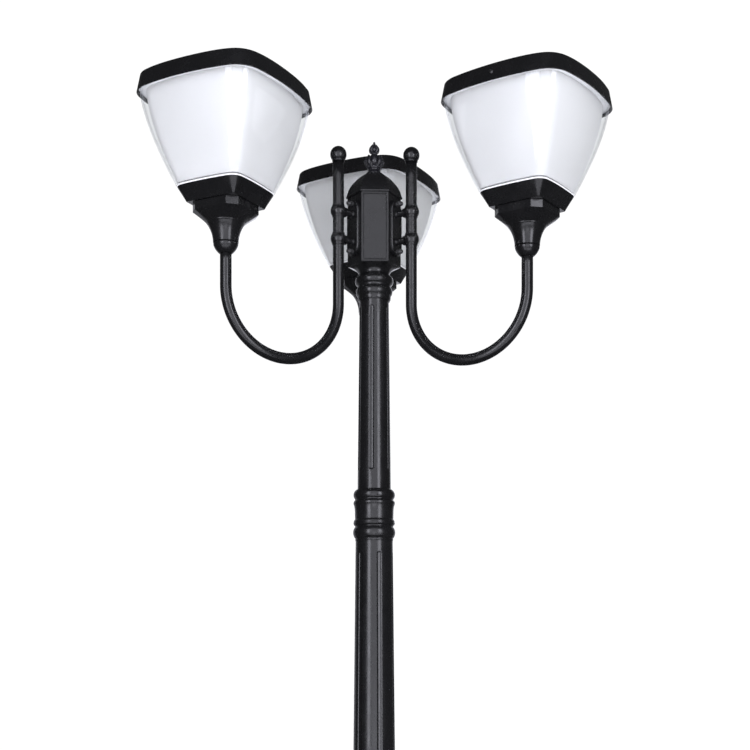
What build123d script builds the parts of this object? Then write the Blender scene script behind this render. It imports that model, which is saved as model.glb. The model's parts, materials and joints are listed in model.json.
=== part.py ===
"""Three-headed solar street lamp: fluted post, hexagonal hub, three U-shaped arms, three swivelling heads.

Millimetres, +Z up.  The origin is the centre of the base on the ground.  The rear arm points along +Y, and
the two front arms stand 60 degrees either side of -Y.
"""
from build123d import *
from math import atan2, cos, degrees, radians, sin, sqrt
import os

# ---- post ------------------------------------------------------------------------------------------------
base_height = 330.0
flange_radius = 152.0
flange_thickness = 14.0
anchor_pcd = 244.0
anchor_count = 4
anchor_hole_radius = 6.0
post_wall = 2.5
post_taper = 0.0106             # radius lost per millimetre of height
lower_post_top = 1362.0
lower_post_foot = 250.0
lower_post_top_radius = 37.3
upper_post_foot = 1415.0
upper_post_top = 1864.0
upper_post_foot_radius = 33.9
collar_foot = 1362.0
collar_top = 1465.0
spigot_bore_radius = 28.0
set_screw_radius = 3.0
set_screw_directions = (30, 90, 150)
base_screws = (298.0, 48.65, 58.0)          # height, inner end and outer end of each ring of set screws
spigot_screws = (1335.0, spigot_bore_radius, 38.0)
collar_screws = (1437.0, 33.7, 42.0)
neck_screws = (1858.0, 29.25, 37.0)

# ---- flutes of the post ----------------------------------------------------------------------------------
flute_count = 6
flute_width = 11.0
flute_depth = 1.8
upper_flutes_span = (1502.0, 1830.0)
lower_flutes_span = (378.0, 1340.0)
upper_flutes_start = -102.0     # degrees, direction of the first flute
lower_flutes_start = -76.5

# ---- hub -------------------------------------------------------------------------------------------------
hub_foot = 1911.0
hub_top = 2048.0
hub_side = 53.3                 # side of the hexagon, and its corner radius
hub_wall = 6.0
hub_apothem = hub_side * cos(radians(30))
roof_levels = (
    (2048.0, 56.6),
    (2052.0, 56.4),
    (2061.0, 53.0),
    (2070.0, 48.8),
    (2079.0, 42.0),
    (2088.0, 33.0),
    (2097.0, 18.0),
)
roof_wall = 3.0
stud_radius = 4.0

# ---- arms ------------------------------------------------------------------------------------------------
tube_radius = 11.0
tube_wall = 2.0
inner_leg = 83.2                # distance of the inner leg from the post's axis
outer_leg = 328.0
bend_centre_height = 1827.0
inner_leg_top = 2107.0
end_ball_height = 2121.0
end_ball_radius = 16.2
bracket_height = 1982.0
bracket_length = 111.0
bracket_width = 42.0
bracket_thickness = 6.0
bead_spacing = 54.8
bead_radius = 15.5
bolt_spacing = 95.0
bolt_radius = 3.0
arm_directions = {"left": -150.0, "right": -30.0, "rear": 90.0}

# ---- heads -----------------------------------------------------------------------------------------------
head_turns = {"left": 150.6, "right": -126.6, "rear": 149.3}    # way that each head's screwed side faces
cup_top = 1905.5
cup_radius = 23.3
swivel_gap = 0.5
spigot_radius = 15.0
running_clearance = 0.05
spigot_top = 1936.5
web_foot = 1937.0
web_top = 1945.0
neck_ring_height = 1943.0
neck_ring_radius = 36.1
block_foot = 1961.0
block_top = 1976.0
block_half = 51.0
block_chamfer = 19.0
tray_top = 2003.0
tray_wall = 3.0
gasket_thickness = 2.5
bowl_foot = tray_top + gasket_thickness
plate_foot = 2176.0
plate_thickness = 3.0
bowl_height = plate_foot - bowl_foot
bowl_foot_half = 74.6
bowl_rim_half = 135.0
bowl_curve = 1.45
shell_wall = 2.5
floor_thickness = 3.0
diffuser_wall = 2.0
cap_foot = 2171.0
cap_top = 2203.0
cap_foot_half = 139.6
cap_top_half = 134.7
cap_bulge = 15.3
cap_corner = 50.9
cap_wall = 2.5
panel_side = 222.0
panel_thickness = 3.0
panel_corner = 12.0
panel_ledge = 8.0
lid_thickness = 5.0
fixing_height = 2187.0          # height of the cap's side screw and of the push button
tray_screw_spacing = 68.0
tray_screw_radius = 2.5
button_radius = 5.0
button_hole_radius = 5.3
button_face = 139.7
button_inner_face = 131.5


def upright_plane(angle):
    """Vertical plane through the Z axis whose own x axis points along angle (degrees)."""
    turn = radians(angle)
    return Plane(origin=(0, 0, 0), x_dir=(cos(turn), sin(turn), 0), z_dir=(sin(turn), -cos(turn), 0))


def face_plane(angle, distance, height):
    """Plane facing outwards along angle, at distance from the Z axis; its x axis is level."""
    turn = radians(angle)
    return Plane(
        origin=(distance * cos(turn), distance * sin(turn), height),
        x_dir=(-sin(turn), cos(turn), 0),
        z_dir=(cos(turn), sin(turn), 0),
    )


def soft_square(half_width, bulge, corner_radius):
    """Square sketch with bowed sides and round corners."""
    half_chord = half_width - bulge
    side_radius = (half_chord**2 + bulge**2) / (2 * bulge)
    side_centre = half_width - side_radius
    reach = side_radius - corner_radius
    corner_centre = (side_centre + sqrt(2 * reach**2 - side_centre**2)) / 2
    half_angle = degrees(atan2(corner_centre, corner_centre - side_centre))
    with BuildSketch() as outline:
        with BuildLine():
            for turn in (0, 90, 180, 270):
                side_point = Vector(side_centre, 0).rotate(Axis.Z, turn)
                corner_point = Vector(corner_centre, corner_centre).rotate(Axis.Z, turn)
                CenterArc(side_point, side_radius, turn - half_angle, 2 * half_angle)
                CenterArc(corner_point, corner_radius, turn + half_angle, 90 - 2 * half_angle)
        make_face()
    return outline.sketch


def bowl_outline(height, inset):
    """Outline of the lamp bowl at a height, drawn in by inset."""
    rise = (height - bowl_foot) / bowl_height
    spread = 1 - (1 - rise) ** bowl_curve
    half_width = bowl_foot_half + (bowl_rim_half - bowl_foot_half) * spread
    return soft_square(half_width - inset, 4 + 11 * spread, 22 + 27.5 * spread - inset)


def bowl_heights(foot, count=5):
    """Heights of the sections that a bowl's wall passes through, from foot to the rim."""
    return [foot + (plate_foot - foot) * step / (count - 1) for step in range(count)]


def flute_tool(length):
    """Round-ended rod that cuts one flute; its own axis is Z and it is centred on the origin."""
    radius = (flute_width**2 / 4 + flute_depth**2) / (2 * flute_depth)
    half = length / 2 - flute_width / 2
    with BuildPart() as tool:
        with BuildSketch(Plane.XZ):
            with BuildLine():
                Line((0, half + radius), (0, -half - radius))
                CenterArc((0, -half), radius, -90, 90)
                Line((radius, -half), (radius, half))
                CenterArc((0, half), radius, 0, 90)
            make_face()
        revolve(axis=Axis.Z)
    return tool.part


def flute_places(span, radius_at, start):
    """Planes that stand a flute tool along the tapered wall, one for each flute."""
    radius = (flute_width**2 / 4 + flute_depth**2) / (2 * flute_depth)
    middle = (span[0] + span[1]) / 2
    distance = radius_at(middle) + radius - flute_depth
    places = []
    for number in range(flute_count):
        turn = radians(start + number * 360 / flute_count)
        places.append(Plane(
            origin=(distance * cos(turn), distance * sin(turn), middle),
            z_dir=(-post_taper * cos(turn), -post_taper * sin(turn), 1),
        ))
    return places


def set_screw_planes(ring, inset=0.0):
    """Outward planes of one ring of set screws, inset from their outer ends."""
    height, _, outer_end = ring
    return [face_plane(direction, outer_end - inset, height) for direction in set_screw_directions]


def set_screw_length(ring):
    """Length of one ring's holes."""
    _, inner_end, outer_end = ring
    return outer_end - inner_end


def lower_radius(height):
    """Outer radius of the lower post."""
    return lower_post_top_radius + (lower_post_top - height) * post_taper


def upper_radius(height):
    """Outer radius of the upper post."""
    return upper_post_foot_radius - (height - upper_post_foot) * post_taper


def save(part, name, place=None):
    """Write one piece, moved to its place, as its own STEP file."""
    finished = part if place is None else part.moved(place)
    finished.label = name
    export_step(finished, f"parts/{name}.step")


os.makedirs("parts", exist_ok=True)

# ==========================================================================================================
# POST
# ==========================================================================================================

# Cast base: bolted flange, bell and ringed socket for the lower post.
socket_radius = lower_radius(lower_post_foot) + 0.1
with BuildPart() as base_casting:
    with BuildSketch(Plane.XZ):
        with BuildLine():
            Line((60, 0), (flange_radius, 0))
            Line((flange_radius, 0), (flange_radius, flange_thickness - 2))
            Line((flange_radius, flange_thickness - 2), (flange_radius - 2, flange_thickness))
            Line((flange_radius - 2, flange_thickness), (100, flange_thickness))
            RadiusArc((100, flange_thickness), (92, 34), 14)
            RadiusArc((92, 34), (70, 96), -82)
            RadiusArc((70, 96), (60, 210), -300)
            Line((60, 210), (60, 268))
            RadiusArc((60, 268), (60, 284), -9)
            Line((60, 284), (57, 290))
            Line((57, 290), (57, 306))
            RadiusArc((57, 306), (57, 320), -8)
            Line((57, 320), (53, base_height))
            Line((53, base_height), (socket_radius, base_height))
            Line((socket_radius, base_height), (socket_radius, lower_post_foot))
            Line((socket_radius, lower_post_foot), (42, lower_post_foot))
            Line((42, lower_post_foot), (42, 220))
            Line((42, 220), (54, 190))
            Line((54, 190), (60, 110))
            Line((60, 110), (60, 0))
        make_face()
    revolve(axis=Axis.Z)
    with BuildSketch(Plane.XY.offset(flange_thickness)):
        with PolarLocations(anchor_pcd / 2, anchor_count, start_angle=45):
            Circle(anchor_hole_radius)
    extrude(amount=-flange_thickness, mode=Mode.SUBTRACT)
    with Locations(set_screw_planes(base_screws)):
        Hole(set_screw_radius, set_screw_length(base_screws))
save(base_casting.part, "base_casting")

# Lower post: tapered fluted tube from the base to the collar.
with BuildPart() as lower_post:
    with BuildSketch(Plane.XZ):
        with BuildLine():
            Polyline(
                (lower_radius(lower_post_foot), lower_post_foot),
                (lower_radius(lower_post_top), lower_post_top),
                (lower_radius(lower_post_top) - post_wall, lower_post_top),
                (lower_radius(lower_post_foot) - post_wall, lower_post_foot),
                close=True,
            )
        make_face()
    revolve(axis=Axis.Z)
    with Locations(flute_places(lower_flutes_span, lower_radius, lower_flutes_start)):
        add(flute_tool(lower_flutes_span[1] - lower_flutes_span[0]), mode=Mode.SUBTRACT)
    with Locations(set_screw_planes(spigot_screws)):
        Hole(set_screw_radius, set_screw_length(spigot_screws))
save(lower_post.part, "lower_post")

# Turned collar: spigot down into the lower post, socket for the upper post, three ridges outside.
upper_socket_radius = upper_post_foot_radius + 0.1
lower_spigot_radius = lower_radius(lower_post_top) - post_wall
with BuildPart() as joint_collar:
    with BuildSketch(Plane.XZ):
        with BuildLine():
            Line((spigot_bore_radius, 1310), (lower_spigot_radius, 1310))
            Line((lower_spigot_radius, 1310), (lower_spigot_radius, collar_foot))
            Line((lower_spigot_radius, collar_foot), (37.6, collar_foot))
            Line((37.6, collar_foot), (38.4, 1366))
            Line((38.4, 1366), (38.9, 1368.4))
            RadiusArc((38.9, 1368.4), (38.9, 1389.7), -18)
            RadiusArc((38.9, 1389.7), (38.6, 1392.2), 2.2)
            RadiusArc((38.6, 1392.2), (38.6, 1405.3), -8.4)
            RadiusArc((38.6, 1405.3), (40.0, 1430.5), 110)
            RadiusArc((40.0, 1430.5), (39.0, 1443.2), -11.2)
            RadiusArc((39.0, 1443.2), (38.8, 1446.2), 2.4)
            RadiusArc((38.8, 1446.2), (36.0, collar_top), -13)
            Line((36.0, collar_top), (upper_socket_radius, collar_top))
            Line((upper_socket_radius, collar_top), (upper_socket_radius, upper_post_foot))
            Line((upper_socket_radius, upper_post_foot), (spigot_bore_radius, upper_post_foot))
            Line((spigot_bore_radius, upper_post_foot), (spigot_bore_radius, 1310))
        make_face()
    revolve(axis=Axis.Z)
    with Locations(set_screw_planes(spigot_screws)):
        Hole(set_screw_radius, set_screw_length(spigot_screws))
    with Locations(set_screw_planes(collar_screws)):
        Hole(set_screw_radius, set_screw_length(collar_screws))
save(joint_collar.part, "joint_collar")

# Upper post: tapered fluted tube from the collar to the hub's neck.
with BuildPart() as upper_post:
    with BuildSketch(Plane.XZ):
        with BuildLine():
            Polyline(
                (upper_radius(upper_post_foot), upper_post_foot),
                (upper_radius(upper_post_top), upper_post_top),
                (upper_radius(upper_post_top) - post_wall, upper_post_top),
                (upper_radius(upper_post_foot) - post_wall, upper_post_foot),
                close=True,
            )
        make_face()
    revolve(axis=Axis.Z)
    with Locations(flute_places(upper_flutes_span, upper_radius, upper_flutes_start)):
        add(flute_tool(upper_flutes_span[1] - upper_flutes_span[0]), mode=Mode.SUBTRACT)
save(upper_post.part, "upper_post")

# Hub neck: ringed socket over the post's top, a concave throat, and a flare to the hub's hexagon.
neck_socket_radius = upper_radius(1842) + 0.1
neck_flare_foot = 1905.0
with BuildPart() as hub_neck:
    with BuildSketch(Plane.XZ):
        with BuildLine():
            Line((neck_socket_radius, 1842), (31.2, 1842))
            RadiusArc((31.2, 1842), (33.0, 1852), -14)
            RadiusArc((33.0, 1852), (33.4, 1869), -12.3)
            RadiusArc((33.4, 1869), (34.2, 1874), 5)
            RadiusArc((34.2, 1874), (33.2, 1892), -11.2)
            RadiusArc((33.2, 1892), (33.4, 1901), 6)
            Line((33.4, 1901), (38.0, neck_flare_foot))
            Line((38.0, neck_flare_foot), (0, neck_flare_foot))
            Line((0, neck_flare_foot), (0, 1894))
            Line((0, 1894), (22, 1894))
            Line((22, 1894), (22, upper_post_top))
            Line((22, upper_post_top), (neck_socket_radius, upper_post_top))
            Line((neck_socket_radius, upper_post_top), (neck_socket_radius, 1842))
        make_face()
    revolve(axis=Axis.Z)
    with BuildSketch(Plane.XY.offset(neck_flare_foot)):
        Circle(38.0)
    with BuildSketch(Plane.XY.offset(hub_foot)):
        RegularPolygon(hub_side - 0.8, 6)
    loft(ruled=True)
    with BuildSketch(Plane.XY.offset(hub_foot)):
        Circle(stud_radius)
    extrude(amount=-20, mode=Mode.SUBTRACT)
    with Locations(set_screw_planes(neck_screws)):
        Hole(set_screw_radius, set_screw_length(neck_screws))
save(hub_neck.part, "hub_neck")

# Hub: hexagonal casting, sunk panels on the three bare sides, tapped holes on the three arm sides.
with BuildPart() as hub_body:
    with BuildSketch(Plane.XY.offset(hub_foot)):
        RegularPolygon(hub_side, 6)
    extrude(amount=hub_top - hub_foot)
    with BuildSketch(Plane.XY.offset(hub_top)):
        RegularPolygon(hub_side - hub_wall / cos(radians(30)), 6)
    extrude(amount=hub_wall - (hub_top - hub_foot), mode=Mode.SUBTRACT)
    for direction in arm_directions.values():
        with BuildSketch(face_plane(direction + 180, hub_apothem, (hub_foot + hub_top) / 2)):
            Rectangle(hub_side - 10, hub_top - hub_foot - 13)
            Rectangle(hub_side - 15, hub_top - hub_foot - 18, mode=Mode.SUBTRACT)
        extrude(amount=-1.2, mode=Mode.SUBTRACT)
        with BuildSketch(face_plane(direction, hub_apothem, bracket_height)):
            with GridLocations(1, bolt_spacing, 1, 2):
                Circle(bolt_radius)
        extrude(amount=-hub_wall, mode=Mode.SUBTRACT)
    with BuildSketch(Plane.XY.offset(hub_foot)):
        Circle(stud_radius)
    extrude(amount=hub_wall, mode=Mode.SUBTRACT)
save(hub_body.part, "hub_body")

# Hub roof: six bowed panels that close to a flat crown, hollow underneath.
with BuildPart() as hub_roof:
    for height, corner in roof_levels:
        with BuildSketch(Plane.XY.offset(height)):
            RegularPolygon(corner, 6)
    loft(ruled=True)
    for height, corner in roof_levels[:-1]:
        with BuildSketch(Plane.XY.offset(height)):
            RegularPolygon(corner - roof_wall, 6)
    with BuildSketch(Plane.XY.offset(roof_levels[-1][0] - roof_wall)):
        RegularPolygon(roof_levels[-1][1] + roof_wall, 6)
    loft(ruled=True, mode=Mode.SUBTRACT)
    with BuildSketch(Plane.XY.offset(roof_levels[-1][0])):
        Circle(stud_radius)
    extrude(amount=-2 * roof_wall, mode=Mode.SUBTRACT)
save(hub_roof.part, "hub_roof")

# Finial: flared foot, crown of eight petals round a bulb, bud above, and the stud that clamps the hub.
finial_foot = roof_levels[-1][0]
petal_count = 8
petal_sweep = 27.0
with BuildPart() as finial:
    with BuildSketch(Plane.XZ):
        with BuildLine():
            Line((0, 1894), (stud_radius, 1894))
            Line((stud_radius, 1894), (stud_radius, finial_foot))
            Line((stud_radius, finial_foot), (18, finial_foot))
            Line((18, finial_foot), (18, 2098.5))
            Spline((18, 2098.5), (13.6, 2101.5), (12.4, 2107))
            Spline((12.4, 2107), (14.4, 2109), (12.4, 2111))
            Spline((12.4, 2111), (14.6, 2119), (12.4, 2128), (5.2, 2137))
            Spline((5.2, 2137), (11.1, 2147), (6.5, 2154.5), (2.4, 2159.5), (0.8, 2163))
            Line((0.8, 2163), (0, 2163))
            Line((0, 2163), (0, 1894))
        make_face()
    revolve(axis=Axis.Z)
    for number in range(petal_count):
        with BuildSketch(upright_plane(number * 360 / petal_count - petal_sweep / 2)):
            with BuildLine():
                RadiusArc((11.5, 2109), (20.9, 2123.5), -19)
                RadiusArc((20.9, 2123.5), (16.2, 2134.5), -12)
                Line((16.2, 2134.5), (15.2, 2133.6))
                RadiusArc((15.2, 2133.6), (19.0, 2123.5), 11)
                RadiusArc((19.0, 2123.5), (10.5, 2110.5), 17)
                Line((10.5, 2110.5), (11.5, 2109))
            make_face()
        revolve(axis=Axis.Z, revolution_arc=petal_sweep)
save(finial.part, "finial")

# Set screws: a ring of three in the base, in the collar's spigot, in the collar's socket and in the neck.
set_screw_inset = 1.4
hex_key_radius = 1.7
with BuildPart() as post_set_screws:
    for ring in (base_screws, spigot_screws, collar_screws, neck_screws):
        for plane in set_screw_planes(ring, set_screw_inset):
            with BuildSketch(plane):
                Circle(set_screw_radius)
            extrude(amount=set_screw_inset - set_screw_length(ring))
            with BuildSketch(plane):
                RegularPolygon(hex_key_radius, 6)
            extrude(amount=-3, mode=Mode.SUBTRACT)
save(post_set_screws.part, "post_set_screws")

# ==========================================================================================================
# ARMS: each piece is made once for an arm along +X, then turned to its direction
# ==========================================================================================================

# U-shaped tube: tall inner leg, half-circle bend, shorter outer leg.
tube_end = 1896.0
bend_radius = (outer_leg - inner_leg) / 2
with BuildPart() as arm_tube:
    with BuildLine(Plane.XZ):
        Line((inner_leg, inner_leg_top), (inner_leg, bend_centre_height))
        CenterArc(((inner_leg + outer_leg) / 2, bend_centre_height), bend_radius, 180, 180)
        Line((outer_leg, bend_centre_height), (outer_leg, tube_end))
    with BuildSketch(Plane(origin=(inner_leg, 0, inner_leg_top), z_dir=(0, 0, -1))):
        Circle(tube_radius)
        Circle(tube_radius - tube_wall, mode=Mode.SUBTRACT)
    sweep()

# Bracket: round-ended plate on the hub's side, two stepped stubs and two beads that hold the inner leg.
plate_face = hub_apothem + bracket_thickness
stub_radius = 6.0
stub_step_radius = 8.2
bead_collar_radius = 12.4
bead_collar_length = 24.0
with BuildPart() as arm_bracket:
    with BuildSketch(face_plane(0, hub_apothem, bracket_height)):
        SlotOverall(bracket_length, bracket_width, rotation=90)
    extrude(amount=bracket_thickness)
    chamfer(arm_bracket.faces().sort_by(Axis.X)[-1].edges(), 1.5)
    with BuildSketch(face_plane(0, hub_apothem, bracket_height)):
        with GridLocations(1, bead_spacing, 1, 2):
            Circle(stub_radius)
    extrude(amount=inner_leg - hub_apothem)
    with BuildSketch(face_plane(0, plate_face + 11, bracket_height)):
        with GridLocations(1, bead_spacing, 1, 2):
            Circle(stub_step_radius)
    extrude(amount=inner_leg - plate_face - 11)
    for side in (-1, 1):
        with Locations((inner_leg, 0, bracket_height + side * bead_spacing / 2)):
            Sphere(bead_radius)
            Cylinder(bead_collar_radius, bead_collar_length)
            Cylinder(tube_radius, 2 * bead_collar_length, mode=Mode.SUBTRACT)
    with BuildSketch(face_plane(0, plate_face, bracket_height)):
        with GridLocations(1, bolt_spacing, 1, 2):
            Circle(bolt_radius)
    extrude(amount=-bracket_thickness, mode=Mode.SUBTRACT)

# Cup: bowl on the end of the outer leg with the spigot that the head turns on.
cup_foot = 1886.5
cup_axis = Axis((outer_leg, 0, 0), (0, 0, 1))
with BuildPart() as arm_cup:
    with BuildSketch(Plane(origin=(outer_leg, 0, 0), x_dir=(1, 0, 0), z_dir=(0, -1, 0))):
        with BuildLine():
            Line((tube_radius, cup_foot), (13, cup_foot))
            RadiusArc((13, cup_foot), (cup_radius, 1901.5), -34)
            Line((cup_radius, 1901.5), (cup_radius, cup_top))
            Line((cup_radius, cup_top), (spigot_radius, cup_top))
            Line((spigot_radius, cup_top), (spigot_radius, spigot_top - 1))
            Line((spigot_radius, spigot_top - 1), (spigot_radius - 1, spigot_top))
            Line((spigot_radius - 1, spigot_top), (stud_radius, spigot_top))
            Line((stud_radius, spigot_top), (stud_radius, cup_top))
            Line((stud_radius, cup_top), (0, cup_top))
            Line((0, cup_top), (0, tube_end))
            Line((0, tube_end), (tube_radius, tube_end))
            Line((tube_radius, tube_end), (tube_radius, cup_foot))
        make_face()
    revolve(axis=cup_axis)

for side, direction in arm_directions.items():
    arm_place = Location((0, 0, 0), (0, 0, direction))
    save(arm_tube.part, f"arm_tube_{side}", arm_place)
    save(arm_bracket.part, f"arm_bracket_{side}", arm_place)
    save(arm_cup.part, f"arm_cup_{side}", arm_place)

# Balls that close the inner legs: sphere, neck ring and plug.
plug_length = 16.0
ring_height = 4.0
with BuildPart() as arm_end_balls:
    for direction in arm_directions.values():
        leg_x = inner_leg * cos(radians(direction))
        leg_y = inner_leg * sin(radians(direction))
        with BuildSketch(Plane.XY.offset(inner_leg_top).move(Location((leg_x, leg_y, 0)))):
            Circle(tube_radius - tube_wall)
        extrude(amount=-plug_length)
        with BuildSketch(Plane.XY.offset(inner_leg_top).move(Location((leg_x, leg_y, 0)))):
            Circle(bead_collar_radius)
        extrude(amount=ring_height)
        with Locations((leg_x, leg_y, end_ball_height)):
            Sphere(end_ball_radius)
save(arm_end_balls.part, "arm_end_balls")


def round_bolt(shank_radius, shank_length, head_radius, head_height, dome_height, hexagonal=False):
    """Bolt whose shank points down -Z from the origin; its head is a disc or hexagon under a dome."""
    dome_radius = (head_radius**2 + dome_height**2) / (2 * dome_height)
    with BuildPart() as bolt:
        with BuildSketch(Plane.XY):
            Circle(shank_radius)
        extrude(amount=-shank_length)
        with BuildSketch(Plane.XY):
            if hexagonal:
                RegularPolygon(head_radius * 1.14, 6)
            else:
                Circle(head_radius)
        extrude(amount=head_height)
        with BuildSketch(Plane.XZ):
            with BuildLine():
                Line((0, head_height), (head_radius, head_height))
                RadiusArc((head_radius, head_height), (0, head_height + dome_height), -dome_radius)
                Line((0, head_height + dome_height), (0, head_height))
            make_face()
        revolve(axis=Axis.Z)
    return bolt.part


# Two domed bolts through each bracket into the hub's wall.
bracket_bolt = round_bolt(bolt_radius, bracket_thickness + hub_wall + 4, 5.0, 8.0, 4.6, hexagonal=True)
with BuildPart() as arm_bolts:
    for direction in arm_directions.values():
        for side in (-1, 1):
            with Locations(face_plane(direction, plate_face, bracket_height + side * bolt_spacing / 2)):
                add(bracket_bolt)
save(arm_bolts.part, "arm_bolts")

# Swivel bolts: screwed down into the spigots, their wide heads keep the heads from lifting off.
swivel_bolt_seat = web_top + 0.3
swivel_bolt = round_bolt(stud_radius, swivel_bolt_seat - cup_top - 1, 8.0, 5.0, 1.2)
with BuildPart() as swivel_bolts:
    for direction in arm_directions.values():
        bolt_x = outer_leg * cos(radians(direction))
        bolt_y = outer_leg * sin(radians(direction))
        with Locations((bolt_x, bolt_y, swivel_bolt_seat)):
            add(swivel_bolt)
save(swivel_bolts.part, "swivel_bolts")

# ==========================================================================================================
# HEADS: each piece is made once about the Z axis with its screwed side along +X, then placed three times
# ==========================================================================================================

# Holder: concave bell that turns on the spigot, under an eight-sided block.
holder_foot = cup_top + swivel_gap
bell_foot_radius = 24.1
pocket_radius = 20.0
with BuildPart() as lamp_holder:
    with BuildSketch(Plane.XZ):
        with BuildLine():
            Line((0, holder_foot), (bell_foot_radius, holder_foot))
            Line((bell_foot_radius, holder_foot), (bell_foot_radius, holder_foot + 3))
            RadiusArc((bell_foot_radius, holder_foot + 3), (neck_ring_radius - 0.6, neck_ring_height - 1.5), 64)
            Line((neck_ring_radius - 0.6, neck_ring_height - 1.5), (neck_ring_radius, neck_ring_height))
            Line((neck_ring_radius, neck_ring_height), (0, neck_ring_height))
            Line((0, neck_ring_height), (0, holder_foot))
        make_face()
    revolve(axis=Axis.Z)
    with BuildSketch(Plane.XY.offset(neck_ring_height)):
        Circle(neck_ring_radius)
    with BuildSketch(Plane.XY.offset(block_foot)) as block_outline:
        Rectangle(2 * block_half, 2 * block_half)
        chamfer(block_outline.vertices(), block_chamfer)
    loft(ruled=True)
    with BuildSketch(Plane.XY.offset(block_foot)) as block_outline:
        Rectangle(2 * block_half, 2 * block_half)
        chamfer(block_outline.vertices(), block_chamfer)
    extrude(amount=block_top - block_foot)
    with BuildSketch(Plane.XY.offset(holder_foot)):
        Circle(spigot_radius + running_clearance)
    extrude(amount=web_foot - holder_foot, mode=Mode.SUBTRACT)
    with BuildSketch(Plane.XY.offset(web_foot)):
        Circle(stud_radius + 0.3)
    extrude(amount=web_top - web_foot, mode=Mode.SUBTRACT)
    with BuildSketch(Plane.XY.offset(web_top)):
        Circle(pocket_radius)
    extrude(amount=block_top - web_top, mode=Mode.SUBTRACT)
    with BuildSketch(Plane.XY.offset(block_top)):
        with GridLocations(tray_screw_spacing, tray_screw_spacing, 2, 2):
            Circle(tray_screw_radius)
    extrude(amount=-10, mode=Mode.SUBTRACT)

# Tray: shallow dish under the bowl, its corners rounder at the rim, with a boss for each screw.
tray_foot_half = 54.5
tray_rim_half = 73.0
tray_rim_corner = 22.0
boss_radius = 6.0
with BuildPart() as tray:
    with BuildSketch(Plane.XY.offset(block_top)):
        add(soft_square(tray_foot_half, 1.0, 4.0))
    with BuildSketch(Plane.XY.offset(tray_top)):
        add(soft_square(tray_rim_half, 4.0, tray_rim_corner))
    loft(ruled=True)
    with BuildSketch(Plane.XY.offset(block_top + tray_wall)):
        add(soft_square(tray_foot_half - 1.5, 1.0, 3.0))
    with BuildSketch(Plane.XY.offset(tray_top)):
        add(soft_square(tray_rim_half - 4.0, 4.0, tray_rim_corner - 4.0))
    loft(ruled=True, mode=Mode.SUBTRACT)
    with BuildSketch(Plane.XY.offset(block_top)):
        with GridLocations(tray_screw_spacing, tray_screw_spacing, 2, 2):
            Circle(boss_radius)
    extrude(amount=bowl_foot - block_top)
    with BuildSketch(Plane.XY.offset(block_top)):
        with GridLocations(tray_screw_spacing, tray_screw_spacing, 2, 2):
            Circle(tray_screw_radius)
        Circle(pocket_radius)
    extrude(amount=bowl_foot - block_top, mode=Mode.SUBTRACT)

# Gasket: flat ring between the tray's rim and the bowl.
with BuildPart() as tray_gasket:
    with BuildSketch(Plane.XY.offset(tray_top)):
        add(soft_square(tray_rim_half + 0.8, 4.0, tray_rim_corner))
        add(soft_square(tray_rim_half - 4.0, 4.0, tray_rim_corner - 4.0), mode=Mode.SUBTRACT)
    extrude(amount=gasket_thickness)

# Clear shell: bowed bowl with a floor, open at the rim.
with BuildPart() as clear_shell:
    for height in bowl_heights(bowl_foot):
        with BuildSketch(Plane.XY.offset(height)):
            add(bowl_outline(height, 0))
    loft()
    for height in bowl_heights(bowl_foot + floor_thickness):
        with BuildSketch(Plane.XY.offset(height)):
            add(bowl_outline(height, shell_wall))
    loft(mode=Mode.SUBTRACT)
    with BuildSketch(Plane.XY.offset(bowl_foot)):
        with GridLocations(tray_screw_spacing, tray_screw_spacing, 2, 2):
            Circle(tray_screw_radius)
    extrude(amount=floor_thickness, mode=Mode.SUBTRACT)


def diffuser_inset(height):
    """Distance of the diffuser's outside from the shell's outside; the gap widens towards the rim."""
    return 4.5 + 6.5 * (height - bowl_foot) / bowl_height


# Opal diffuser: thin white liner inside the shell, open at both ends.
diffuser_foot = bowl_foot + floor_thickness
with BuildPart() as opal_diffuser:
    for height in bowl_heights(diffuser_foot):
        with BuildSketch(Plane.XY.offset(height)):
            add(bowl_outline(height, diffuser_inset(height)))
    loft()
    for height in bowl_heights(diffuser_foot):
        with BuildSketch(Plane.XY.offset(height)):
            add(bowl_outline(height, diffuser_inset(height) + diffuser_wall))
    loft(mode=Mode.SUBTRACT)

# Reflector plate: white lid of the bowl, with lugs for the cap and a pod behind the push button.
plate_top = plate_foot + plate_thickness
lug_length = 14.0
lug_width = 18.0
lug_height = 15.0
lug_face = 133.2
pod_face = 128.0
cap_screw_radius = 2.0
with BuildPart() as reflector_plate:
    with BuildSketch(Plane.XY.offset(plate_foot)):
        add(soft_square(cap_foot_half - cap_wall - 1.6, cap_bulge, cap_corner - cap_wall - 0.4))
    extrude(amount=plate_thickness)
    with BuildSketch(Plane.XY.offset(plate_top)):
        with Locations((lug_face - lug_length / 2, 0), (lug_length / 2 - lug_face, 0)):
            Rectangle(lug_length, lug_width)
        with Locations((0, lug_length / 2 - pod_face)):
            Rectangle(lug_width, lug_length)
    extrude(amount=lug_height)
    with BuildSketch(face_plane(0, lug_face, fixing_height)):
        Circle(cap_screw_radius)
    extrude(amount=-12, mode=Mode.SUBTRACT)

# LED board: square circuit board with a grid of light emitters, under the plate.
board_side = 120.0
board_thickness = 1.6
emitter_side = 5.0
emitter_height = 1.0
with BuildPart() as led_board:
    with BuildSketch(Plane.XY.offset(plate_foot)):
        Rectangle(board_side, board_side)
    extrude(amount=-board_thickness)
    with BuildSketch(Plane.XY.offset(plate_foot - board_thickness)):
        with GridLocations(26, 26, 4, 4):
            Rectangle(emitter_side, emitter_side)
    extrude(amount=-emitter_height)

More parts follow.
